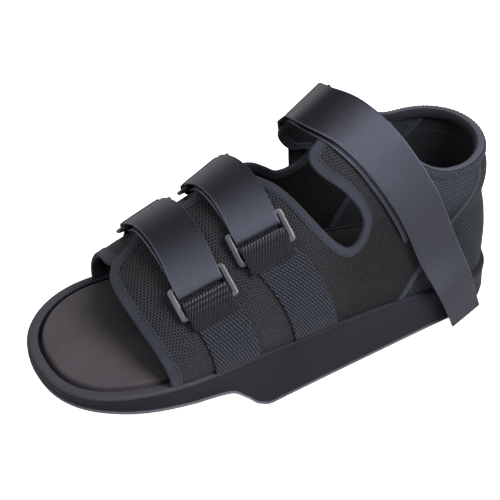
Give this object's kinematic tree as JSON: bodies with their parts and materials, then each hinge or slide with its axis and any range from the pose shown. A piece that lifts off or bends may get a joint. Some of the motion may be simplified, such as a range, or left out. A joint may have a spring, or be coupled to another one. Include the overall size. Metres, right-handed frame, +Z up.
{
  "type": "postoperative shoe",
  "caption": "Open-toed forefoot-relief shoe: wedge sole that lifts the toes, mesh sides, padded collar and doubled hook-and-loop straps through plastic loops.",
  "frame": {"origin": "on the flat underside of the wedge, in the middle of the sole's width and of its length", "axes": "+Z up from the floor, +X from toe to heel, -Y the side where the straps close"},
  "size_m": [0.29, 0.1105, 0.1614],
  "materials": {
    "foam": "matt closed-cell foam, dark blue-grey",
    "tread": "matt grey rubber",
    "footbed": "brushed brown-charcoal cloth",
    "mesh": "black spacer mesh",
    "heel_cloth": "coarse dark knit",
    "tape": "smooth slate binding tape",
    "padding": "smooth slate cloth over padding",
    "strap": "slate loop fabric with a fine weave",
    "webbing": "coarse ribbed webbing",
    "grey_plastic": "pale grey moulded plastic",
    "black_plastic": "black moulded plastic"
  },
  "bodies": {
    "root": {"sole": "foam", "outsole": "tread", "insole": "footbed", "near_panel": "mesh", "far_panel": "mesh", "near_binding": "tape", "far_binding": "tape", "heel_counter": "heel_cloth", "near_seam_tape": "tape", "far_seam_tape": "tape", "collar": "padding", "front_strap": "strap", "middle_strap": "strap", "ankle_strap": "strap", "front_ring_near": "grey_plastic", "front_ring_far": "grey_plastic", "middle_ring_near": "grey_plastic", "middle_ring_far": "grey_plastic", "ankle_ring": "black_plastic", "front_web_near": "webbing", "front_web_far": "webbing", "middle_web_near": "webbing", "middle_web_far": "webbing", "ankle_web": "webbing"}
  },
  "joints": []
}
